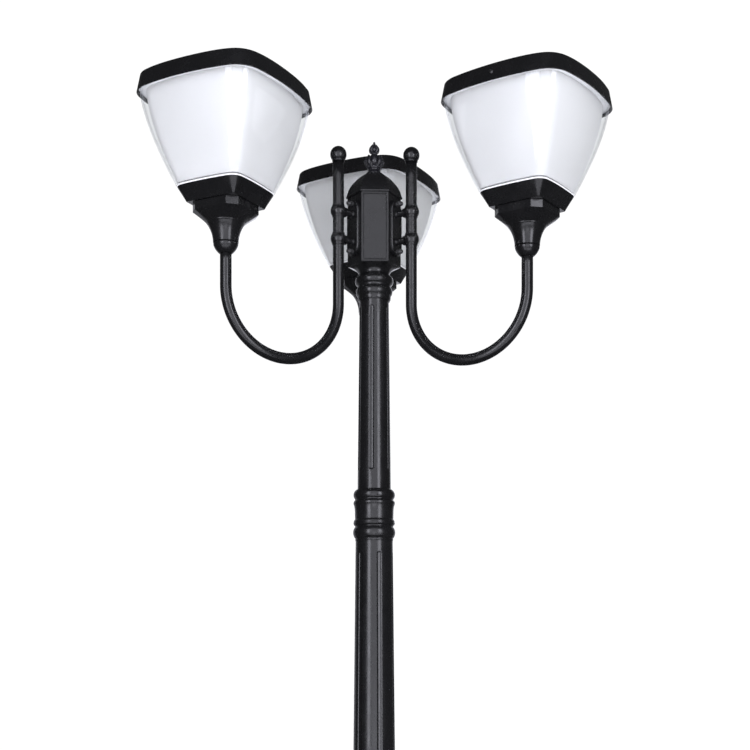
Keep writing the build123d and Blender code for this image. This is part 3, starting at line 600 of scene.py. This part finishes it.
def make_tray():
    """Dish under the bowl; its corners open like cones from a tight radius to a wide one."""
    outside = []
    for step in range(9):
        share = step / 8
        outside.append(soft_ring(TRAY_FOOT_HALF + (TRAY_RIM_HALF - TRAY_FOOT_HALF) * share, 1 + 3 * share,
                                 4 + (TRAY_RIM_CORNER - 4) * share, TRAY_FOOT + TRAY_DEPTH * share))
    inside = [soft_ring(TRAY_RIM_HALF - 4, 4.0, TRAY_RIM_CORNER - 4, 2002.95),
              soft_ring(TRAY_FOOT_HALF - 1.5, 1.0, 3.0, 1979.0)]
    bm = bmesh.new()
    skin(bm, outside + inside, caps=(0, -1))
    put_on_heads(bm, "bowl_tray", "black_powder_coat", "tray", 0.8)


def make_gasket():
    """Soft ring with a rounded lip that shows as a white line between tray and bowl."""
    lip = ((-4.0, 0.02), (0.1, 0.02), (0.6, 0.4), (0.8, 1.2), (0.6, 2.0), (0.1, 2.45), (-4.0, 2.45))
    rings = [soft_ring(TRAY_RIM_HALF + out, 4.0, TRAY_RIM_CORNER + out, 2003.0 + up) for out, up in lip]
    bm = bmesh.new()
    skin(bm, rings, closed=True)
    put_on_heads(bm, "bowl_gasket", "white_silicone", "tray_gasket", 0)


make_clear_shell()
make_diffuser()
make_holder()
make_solar_panel()
make_tray()
make_gasket()

# ---------------------------------------------------------------------------------------------------------
# Post
# ---------------------------------------------------------------------------------------------------------
POST_TAPER = 0.0106
FLUTES = 6
FLUTE_WIDTH = 11.0
FLUTE_DEPTH = 1.8
FLUTE_SHARPNESS = 3.5  # the higher, the flatter the bed and the steeper the walls


def flute_sink(across, past_end):
    """Depth of a flute that far from its middle line and that far into its round end."""
    share = math.hypot(across, past_end) / (FLUTE_WIDTH / 2)
    return FLUTE_DEPTH * max(0.0, 1 - share**FLUTE_SHARPNESS)


def make_fluted_post(name, node, foot, top, foot_radius, span, start):
    """Tapered post with six round-ended flutes; its grid is dense where the flutes begin and end."""
    half = FLUTE_WIDTH / 2
    marks = [share * half for share in (-1.0, -0.93, -0.8, -0.6, -0.3, 0.0, 0.3, 0.6, 0.8, 0.93, 1.0)]
    end_steps = [half * share for share in (-0.02, 0.15, 0.3, 0.45, 0.6, 0.72, 0.82, 0.9, 0.96, 1.02)]
    heights = {foot, top}
    heights.update(span[0] + half - step for step in end_steps)
    heights.update(span[1] - half + step for step in end_steps)
    heights.update(span[0] + (span[1] - span[0]) * step / 12 for step in range(1, 12))
    rings = []
    for height in sorted(heights):
        radius = foot_radius - (height - foot) * POST_TAPER
        past_end = max(span[0] + half - height, height - span[1] + half, 0.0)
        ring = []
        for flute in range(FLUTES):
            middle = math.radians(start) + 2 * math.pi * flute / FLUTES
            spots = [(math.asin(mark / radius), flute_sink(mark, past_end)) for mark in marks]
            edge = spots[-1][0]
            gap = 2 * math.pi / FLUTES - 2 * edge
            spots += [(edge + gap * step / 8, 0.0) for step in range(1, 8)]
            ring += [((radius - sink) * math.cos(middle + turn), (radius - sink) * math.sin(middle + turn),
                      height) for turn, sink in spots]
        rings.append(ring)
    bm = bmesh.new()
    skin(bm, rings, caps=(0, -1))
    put_on_post(bm, name, "black_powder_coat", node, 0.35)


def make_collar():
    """Turned collar between the posts: bottom roll, double bead, waist, thin bead and top roll."""
    outline = profile(
        (34.1, 1362.1), (37.6, 1362.1), (38.3, 1365.6), (37.9, 1367.0, 0.9), (38.9, 1368.4),
        (38.9, 1389.7, -18), (38.6, 1392.2, 2.2), (41.7, 1398.2, -8.0), (41.3, 1399.5, 0.9),
        (38.6, 1405.4, -8.0), (38.9, 1418.0, 120), (40.6, 1434.2, 60), (41.5, 1438.8, -5.5),
        (39.0, 1443.2, -5.5), (38.8, 1446.2, 2.4), (36.0, 1465.0, -13), (34.1, 1465.0), steps=10)
    bm = bmesh.new()
    skin(bm, [circle(radius, height) for radius, height in outline], closed=True)
    put_on_post(bm, "turned_collar", "black_powder_coat", "joint_collar", 0.4)


def hexagon_reach(turn, corner):
    """Distance from the middle to a hexagon's side in that direction."""
    return corner * math.cos(math.pi / 6) / math.cos((turn % (math.pi / 3)) - math.pi / 6)


def make_neck():
    """Ringed socket under the hub, whose throat flares into the hub's hexagon."""
    outline = profile((22.0, 1842.0), (31.2, 1842.0), (33.0, 1852.0, -14), (33.4, 1869.0, -12.3),
                      (34.2, 1874.0, 5), (33.2, 1892.0, -11.2), (32.2, 1900.2, 7), steps=10)
    rings = [circle(radius, height) for radius, height in outline]
    for radius, height, share in ((33.6, 1902.4, 0.03), (36.0, 1904.6, 0.12), (39.5, 1906.8, 0.32),
                                  (44.0, 1908.8, 0.62), (48.6, 1910.2, 0.88), (52.5, 1910.98, 1.0)):
        ring = []
        for x, y, _ in circle(1.0, 0.0):
            reach = radius * (1 - share) + hexagon_reach(math.atan2(y, x), radius) * share
            ring.append((reach * x, reach * y, height))
        rings.append(ring)
    rings.append(circle(22.0, 1910.98))
    bm = bmesh.new()
    skin(bm, rings, closed=True)
    put_on_post(bm, "hub_throat", "black_powder_coat", "hub_neck", 0.3)


def make_set_screws():
    """Cup screws with six-sided sockets, flush with the surface, three in each of four rings."""
    socket = [(1.7 * math.cos(math.pi / 3 * (step // 2)), 1.7 * math.sin(math.pi / 3 * (step // 2)))
              for step in range(12)]
    rings = [circle(3.0, -4.0, 12), circle(3.0, -0.25, 12), circle(2.75, 0.0, 12)]
    rings += [[(x, y, 0.0) for x, y in socket], [(x, y, -2.2) for x, y in socket]]
    bm = bmesh.new()
    for height, radius in ((298.0, 56.8), (1335.0, 37.7), (1437.0, 41.3), (1858.0, 36.3)):
        for direction in (30, 90, 150):
            turn = Matrix.Rotation(math.radians(direction), 4, "Z") @ Matrix.Translation(
                (radius * MM, 0, height * MM)) @ Matrix.Rotation(math.pi / 2, 4, "Y")
            add_part(bm, rings, turn, caps=(0, -1))
    put_on_post(bm, "set_screws", "dark_steel", "post_set_screws", 0)


make_fluted_post("fluted_lower_post", "lower_post", 250.0, 1362.0, 49.08, (378.0, 1340.0), -76.5)
make_fluted_post("fluted_upper_post", "upper_post", 1415.0, 1864.0, 33.9, (1502.0, 1830.0), -102.0)
make_collar()
make_neck()
make_set_screws()

# ---------------------------------------------------------------------------------------------------------
# Arms: each piece is made once for an arm along +X, then turned to its direction
# ---------------------------------------------------------------------------------------------------------
TUBE_RADIUS = 11.0
INNER_LEG = 83.2
OUTER_LEG = 328.0
BEND_HEIGHT = 1827.0
BRACKET_HEIGHT = 1982.0
HUB_FACE = 46.16
PLATE_FACE = 52.16
BEAD_RADIUS = 15.5
BEAD_RISE = 27.4
BOLT_RISE = 47.5


def arm_turn(side):
    """Direction of one arm, from its head's swivel."""
    spot = joints[f"head_swivel_{side}"]["pos_m"]
    return Matrix.Rotation(math.atan2(spot[1], spot[0]), 4, "Z")


def put_on_arms(bm, stem, finish, node_stem, bevel=0.5):
    mesh = mesh_of(bm, stem, finish)
    for side in SIDES:
        put(mesh, f"{stem}_{side}", POST, f"{node_stem}_{side}", arm_turn(side), bevel)


def make_arm_tube():
    """Bent tube: tall inner leg, half-circle, shorter outer leg."""
    middle, radius = (INNER_LEG + OUTER_LEG) / 2, (OUTER_LEG - INNER_LEG) / 2
    path = [(INNER_LEG, height, math.pi) for height in (2107.0, 2080.0, 2000.0, 1930.0, 1870.0)]
    path += [(middle + radius * math.cos(turn), BEND_HEIGHT + radius * math.sin(turn), turn)
             for turn in (math.pi + math.pi * step / 72 for step in range(73))]
    path += [(OUTER_LEG, height, 2 * math.pi) for height in (1850.0, 1875.0, 1896.0)]
    round_tube = circle(TUBE_RADIUS, 0, 48)
    rings = [[(x + math.cos(turn) * u, v, z + math.sin(turn) * u) for u, v, _ in round_tube]
             for x, z, turn in path]
    bm = bmesh.new()
    skin(bm, rings, caps=(0, -1))
    put_on_arms(bm, "bent_tube", "black_steel_tube", "arm_tube", 0)


def add_turned(bm, outline, place, count=48):
    """Adds a turned part, whose outline starts and ends on the axis, to a bmesh at a place."""
    add_part(bm, [circle(radius, height, count) for radius, height in outline], place)


def ball_outline(radius, collar, collar_half):
    """Bead on a tube: ball between two short collars."""
    edge = math.acos(collar / radius)
    ball = [(radius * math.cos(turn), radius * math.sin(turn))
            for turn in (-edge + 2 * edge * step / 20 for step in range(21))]
    return [(0.0, -collar_half), (collar - 0.5, -collar_half), (collar, -collar_half + 0.5), *ball,
            (collar, collar_half - 0.5), (collar - 0.5, collar_half), (0.0, collar_half)]


def make_bracket():
    """Round-ended plate with a bevelled border, two stepped stubs and two beads that hold the inner leg."""
    bm = bmesh.new()
    rings = []
    for x, radius in ((HUB_FACE + 0.02, 21.0), (PLATE_FACE - 1.6, 21.0), (PLATE_FACE, 19.2),
                      (PLATE_FACE, 17.6), (PLATE_FACE - 0.7, 16.8)):
        ring = []
        for centre, first in ((34.5, 0.0), (-34.5, math.pi)):
            turns = [first + math.pi * step / 20 for step in range(21)]
            ring += [(x, radius * math.cos(turn), BRACKET_HEIGHT + centre + radius * math.sin(turn))
                     for turn in turns]
        rings.append(ring)
    skin(bm, rings, caps=(0, -1))
    stub = profile((0.0, HUB_FACE + 1), (7.8, HUB_FACE + 1), (7.8, PLATE_FACE + 0.8), (6.6, PLATE_FACE + 1.6),
                   (6.6, PLATE_FACE + 13.4), (9.0, PLATE_FACE + 14.0), (9.0, INNER_LEG - 8),
                   (0.0, INNER_LEG - 8))
    bead = ball_outline(BEAD_RADIUS, 12.4, 12.0)
    for sign in (-1, 1):
        height = BRACKET_HEIGHT + sign * BEAD_RISE
        add_turned(bm, stub, Matrix.Translation((0, 0, height * MM)) @ Matrix.Rotation(math.pi / 2, 4, "Y"))
        add_turned(bm, bead, Matrix.Translation((INNER_LEG * MM, 0, height * MM)))
    put_on_arms(bm, "bracket", "black_powder_coat", "arm_bracket", 0.4)


def make_arm_bolts():
    """Acorn nuts on washers, two on each bracket."""
    bm = bmesh.new()
    washer = profile((0.0, -1.0), (6.4, -1.0), (6.4, 0.8), (6.0, 1.1), (0.0, 1.1))
    dome = profile((0.0, 0.9), (4.9, 0.9), (5.2, 7.2), (4.6, 8.2), (4.4, 9.0), (0.0, 12.6, -5.2))
    nut = [(5.7, 1.1), (6.1, 1.6), (6.1, 6.4), (5.2, 7.4)]
    for side in SIDES:
        for sign in (-1, 1):
            spot = (PLATE_FACE * MM, 0, (BRACKET_HEIGHT + sign * BOLT_RISE) * MM)
            place = arm_turn(side) @ Matrix.Translation(spot) @ Matrix.Rotation(math.pi / 2, 4, "Y")
            add_turned(bm, washer, place, 32)
            add_turned(bm, dome, place, 32)
            add_part(bm, [circle(radius, height, 6) for radius, height in nut], place, caps=(0, -1))
    put_on_post(bm, "acorn_nuts", "black_fastener", "arm_bolts", 0.25)


def make_end_balls():
    """Balls on neck rings that close the inner legs."""
    bm = bmesh.new()
    radius, height, foot = 16.2, 2121.0, 2107.0
    low = -math.asin((height - foot - 4.6) / radius)
    ball = [(radius * math.cos(turn), height + radius * math.sin(turn))
            for turn in (low + (math.pi / 2 - low) * step / 24 for step in range(25))]
    outline = [(0.0, foot + 0.02), (12.0, foot + 0.02), (12.4, foot + 0.5), (12.4, foot + 3.4),
               (12.0, foot + 3.9), (11.4, foot + 4.3), *ball[:-1], (0.0, height + radius)]
    for side in SIDES:
        add_turned(bm, outline, arm_turn(side) @ Matrix.Translation((INNER_LEG * MM, 0, 0)), 64)
    put_on_post(bm, "end_balls", "black_powder_coat", "arm_end_balls", 0)


def make_cups():
    """Rounded cup on each outer leg, with the spigot that its head turns on."""
    outline = profile((0.0, 1896.0), (11.0, 1896.0), (11.0, 1886.5), (12.4, 1886.5), (13.2, 1887.0),
                      (23.0, 1901.0, -34), (23.3, 1902.0), (23.3, 1905.0), (22.9, 1905.5), (14.9, 1905.5),
                      (14.9, 1935.5), (14.0, 1936.4), (0.0, 1936.4), steps=12)
    bm = bmesh.new()
    add_turned(bm, outline, Matrix.Translation((OUTER_LEG * MM, 0, 0)), 72)
    put_on_arms(bm, "arm_end_cup", "black_powder_coat", "arm_cup", 0)


make_arm_tube()
make_bracket()
make_arm_bolts()
make_end_balls()
make_cups()

# ---------------------------------------------------------------------------------------------------------
# Hub and finial
# ---------------------------------------------------------------------------------------------------------
HUB_FOOT = 1911.0
HUB_TOP = 2048.0
HUB_CORNER = 53.3
BARE_SIDES = (-90, 30, 150)


def hexagon(corner, height):
    turns = [math.pi / 3 * step for step in range(6)]
    return [(corner * math.cos(turn), corner * math.sin(turn), height) for turn in turns]


def make_hub():
    """Hexagonal casting, its three bare sides with a double line round a flat panel."""
    bm = bmesh.new()
    skin(bm, [hexagon(HUB_CORNER, HUB_FOOT), hexagon(HUB_CORNER, HUB_TOP)], caps=(0, -1))
    bmesh.ops.recalc_face_normals(bm, faces=bm.faces)
    bare = [face for face in bm.faces if any(
        face.normal.dot(Vector((math.cos(turn), math.sin(turn), 0))) > 0.99
        for turn in map(math.radians, BARE_SIDES))]
    for thickness, depth in ((4.6, 0.0), (0.5, -1.1), (1.4, 0.0), (0.5, 1.1)):
        bmesh.ops.inset_individual(bm, faces=bare, thickness=thickness * MM, depth=depth * MM)
    put_on_post(bm, "hub_casting", "black_powder_coat", "hub_body", 0.45)


def make_roof():
    """Six bowed panels with a rolled eave that close under the finial."""
    bm = bmesh.new()
    bow = smooth_line([(55.4, 2052.4), (53.0, 2061.0), (48.8, 2070.0), (42.0, 2079.0), (33.0, 2088.0),
                       (24.5, 2094.2), (18.0, 2096.9)], 5)
    rings = [hexagon(48.0, HUB_TOP + 0.02), hexagon(55.8, HUB_TOP + 0.02), hexagon(56.6, 2048.8),
             hexagon(56.6, 2051.4)]
    rings += [hexagon(corner, height) for corner, height in bow]
    skin(bm, rings, caps=(0, -1))
    put_on_post(bm, "hub_canopy", "black_powder_coat", "hub_roof", 0.7)


LEAF_ROWS = 12
LEAF_COLUMNS = 6
LEAF_WALL = 0.9


def leaf(bm, spine, width, cup, turn):
    """Leaf along a spine of (r, z), cupped across, with a raised rib; it has two faces and a thin edge."""
    line = smooth_line(spine, LEAF_ROWS // (len(spine) - 1))
    grid = []
    for side in (0.0, LEAF_WALL):
        rows_made = []
        for number, (radius, height) in enumerate(line):
            share = number / (len(line) - 1)
            half = width * (math.sin(math.pi * min(share * 0.92 + 0.08, 1.0)) ** 0.7) / 2 + 0.15
            row = []
            for column in range(LEAF_COLUMNS + 1):
                across = 2 * column / LEAF_COLUMNS - 1
                rib = 0.55 * max(0.0, 1 - abs(across) * 4)
                reach = radius - cup * across**2 + (rib if side == 0.0 else -side)
                sideways = half * across
                row.append(bm.verts.new(Vector((
                    reach * math.cos(turn) - sideways * math.sin(turn),
                    reach * math.sin(turn) + sideways * math.cos(turn), height)) * MM))
            rows_made.append(row)
        grid.append(rows_made)
    outer, inner = grid
    last_row, last_column = len(outer) - 1, LEAF_COLUMNS
    for row in range(last_row):
        for column in range(last_column):
            for sheet in (outer, inner):
                bm.faces.new((sheet[row][column], sheet[row][column + 1], sheet[row + 1][column + 1],
                              sheet[row + 1][column]))
        for column in (0, last_column):
            bm.faces.new((outer[row][column], outer[row + 1][column],
                          inner[row + 1][column], inner[row][column]))
    for row in (0, last_row):
        for column in range(last_column):
            bm.faces.new((outer[row][column], outer[row][column + 1],
                          inner[row][column + 1], inner[row][column]))


def make_finial():
    """Cast finial: flared foot, crown of leaves round a ribbed bulb, and a leafy bud that ends in a point."""
    bm = bmesh.new()
    foot = profile((15.6, 2096.9), (15.6, 2098.4), (13.0, 2101.4, 5), (12.4, 2107.0, 9), (14.2, 2109.0, -1.8),
                   (12.4, 2111.0, -1.8), steps=6)
    bulb = smooth_line([(12.4, 2111.0), (14.4, 2118.5), (12.8, 2127.5), (7.4, 2135.0), (5.0, 2137.6)], 8)
    bud = smooth_line([(5.0, 2137.6), (6.8, 2139.6), (10.2, 2145.0), (9.0, 2150.6), (4.8, 2155.4),
                       (2.2, 2158.4), (2.5, 2160.4), (1.4, 2162.2)], 6)
    rings = [[(0.0, 0.0, 2096.9)]]
    rings += [circle(radius, height) for radius, height in foot]
    ribs, rib_height, rib_pitch = 16, 0.035, 2.2
    for radius, height in bulb[1:]:
        ring = []
        for x, y, z in circle(radius, height):
            swell = 1 + rib_height * math.cos(ribs * math.atan2(y, x)) * math.cos((height - 2120) / rib_pitch)
            ring.append((x * swell, y * swell, z))
        rings.append(ring)
    rings += [circle(radius, height) for radius, height in bud[1:]] + [[(0.0, 0.0, 2163.0)]]
    skin(bm, rings)
    for number in range(8):
        leaf(bm, [(12.4, 2109.2), (17.4, 2114.5), (19.6, 2121.0), (18.9, 2128.0), (17.0, 2133.0)], 10.5, 1.8,
             math.pi / 4 * number)
    for number in range(6):
        leaf(bm, [(6.4, 2138.8), (10.2, 2142.4), (11.2, 2147.0), (8.0, 2152.4), (3.6, 2157.4)], 8.0, 1.3,
             math.pi / 3 * number + math.pi / 6)
    piece = put_on_post(bm, "leaf_finial", "black_powder_coat", "finial", 0)
    # The finial's own coat carries a painted pale highlight along its leaf edges.
    piece.data.materials[0] = rim_highlight_coat("powder_coat_painted_rim_highlight")


make_hub()
make_roof()
make_finial()

# ---------------------------------------------------------------------------------------------------------
# Stage, light and camera
# ---------------------------------------------------------------------------------------------------------
CAMERA_DISTANCE = 2.700
CAMERA_HEIGHT = 1.120
CAMERA_TURN = math.radians(-1.95)
CAMERA_SIDE = 0.0016
LENS = 64.63
SHIFT = 0.3827
LIGHT_COLOUR = (0.95, 0.955, 1.05)
BACKDROP_WHITE = 1.05
REFLECTED_ROOM = 0.05
WALLS_LEFT = 0.40
WALLS_RIGHT = 1.02
STAGE_RADIUS = 4.0
STAGE_DROP = 0.0005


def make_camera():
    data = bpy.data.cameras.new("camera")
    data.lens = LENS
    data.sensor_width = 36.0
    data.shift_y = SHIFT
    data.clip_end = 100.0
    camera = bpy.data.objects.new("camera", data)
    side = Vector((math.cos(CAMERA_TURN), math.sin(CAMERA_TURN), 0))
    back = Vector((math.sin(CAMERA_TURN), -math.cos(CAMERA_TURN), 0))
    camera.location = back * CAMERA_DISTANCE + side * CAMERA_SIDE + Vector((0, 0, CAMERA_HEIGHT))
    camera.rotation_euler = (math.pi / 2, 0, CAMERA_TURN)
    bpy.context.scene.collection.objects.link(camera)
    bpy.context.scene.camera = camera


def area_light(name, place, target, width, height, radiance):
    """Soft box of that brightness; it isn't seen by the camera itself."""
    data = bpy.data.lights.new(name, "AREA")
    data.shape = "RECTANGLE"
    data.size = width
    data.size_y = height
    data.energy = radiance * math.pi * width * height
    data.color = LIGHT_COLOUR
    light = bpy.data.objects.new(name, data)
    light.location = place
    light.rotation_euler = (Vector(target) - Vector(place)).to_track_quat("-Z", "Y").to_euler()
    light.visible_camera = False
    bpy.context.scene.collection.objects.link(light)


def make_world():
    """White backdrop; gloss reflects a dim room, and matt surfaces are lit by walls brighter on the right."""
    world = bpy.data.worlds.new("studio")
    world.use_nodes = True
    tree = world.node_tree
    tree.nodes.clear()
    path = tree.nodes.new("ShaderNodeLightPath")
    output = tree.nodes.new("ShaderNodeOutputWorld")

    def backdrop(strength, colour=(1, 1, 1, 1)):
        made = tree.nodes.new("ShaderNodeBackground")
        made.inputs["Color"].default_value = colour
        feed(tree, made.inputs["Strength"], strength)
        return made.outputs[0]

    def choose(ray, otherwise, chosen):
        made = tree.nodes.new("ShaderNodeMixShader")
        tree.links.new(path.outputs[ray], made.inputs[0])
        tree.links.new(otherwise, made.inputs[1])
        tree.links.new(chosen, made.inputs[2])
        return made.outputs[0]

    direction = tree.nodes.new("ShaderNodeSeparateXYZ")
    tree.links.new(tree.nodes.new("ShaderNodeTexCoord").outputs["Generated"], direction.inputs[0])
    to_the_right = tree.nodes.new("ShaderNodeMapRange")
    tree.links.new(direction.outputs["X"], to_the_right.inputs["Value"])
    for socket, value in (("From Min", -1.0), ("From Max", 1.0),
                          ("To Min", WALLS_LEFT), ("To Max", WALLS_RIGHT)):
        to_the_right.inputs[socket].default_value = value
    walls = backdrop(to_the_right.outputs["Result"], (0.97, 0.975, 1, 1))
    room = choose("Is Glossy Ray", walls, backdrop(REFLECTED_ROOM, (0.95, 0.97, 1, 1)))
    tree.links.new(choose("Is Camera Ray", room, backdrop(BACKDROP_WHITE)), output.inputs[0])
    bpy.context.scene.world = world


def make_floor():
    """Round pale floor with a faint mottle, wide enough for the lamp to stand on from every side."""
    s = Shader("pale_floor")
    colour = s.mix(s.ramp(s.noise(3.0, 4.0), 0.3, 0.7, 0.0, 1.0), rgb(0.78), rgb(0.82))
    rough = s.ramp(s.noise(40.0, 3.0), 0.3, 0.7, 0.6, 0.75)
    normal = s.bump(s.noise(150.0, 3.0), 0.1, 0.001)
    s.principled(**{"Base Color": colour, "Roughness": rough, "Normal": normal})
    mesh = bpy.data.meshes.new("floor")
    bm = bmesh.new()
    bmesh.ops.create_circle(bm, cap_ends=True, segments=128, radius=STAGE_RADIUS)
    bm.to_mesh(mesh)
    bm.free()
    mesh.materials.append(s.material)
    floor = bpy.data.objects.new("floor", mesh)
    floor.location.z = -STAGE_DROP
    bpy.context.scene.collection.objects.link(floor)
    floor.visible_glossy = False


make_camera()
make_world()
make_floor()
area_light("front_box", (-0.15, -4.4, 2.4), (0, 0, 2.0), 2.8, 4.4, 1.65)
area_light("side_box_left", (-1.72, -2.70, 1.75), (0, 0, 1.75), 0.85, 2.7, 6.6)
area_light("side_box_right", (1.60, -2.77, 1.75), (0, 0, 1.75), 0.95, 2.7, 6.2)
area_light("front_low_box", (-0.1, -3.0, 0.5), (0, 0, 1.9), 1.5, 0.7, 2.6)
area_light("low_box", (0.0, -1.9, 0.06), (0, 0, 1.9), 3.4, 0.5, 2.8)
area_light("rear_box_left", (-1.9, 2.85, 1.9), (0, 0, 1.8), 1.3, 3.0, 0.5)
area_light("rear_box_right", (1.9, 2.85, 1.9), (0, 0, 1.8), 1.3, 3.0, 0.5)
area_light("back_box", (0.3, 4.3, 2.2), (0, 0, 1.8), 2.6, 3.6, 1.7)
bpy.context.scene.view_settings.view_transform = "Standard"
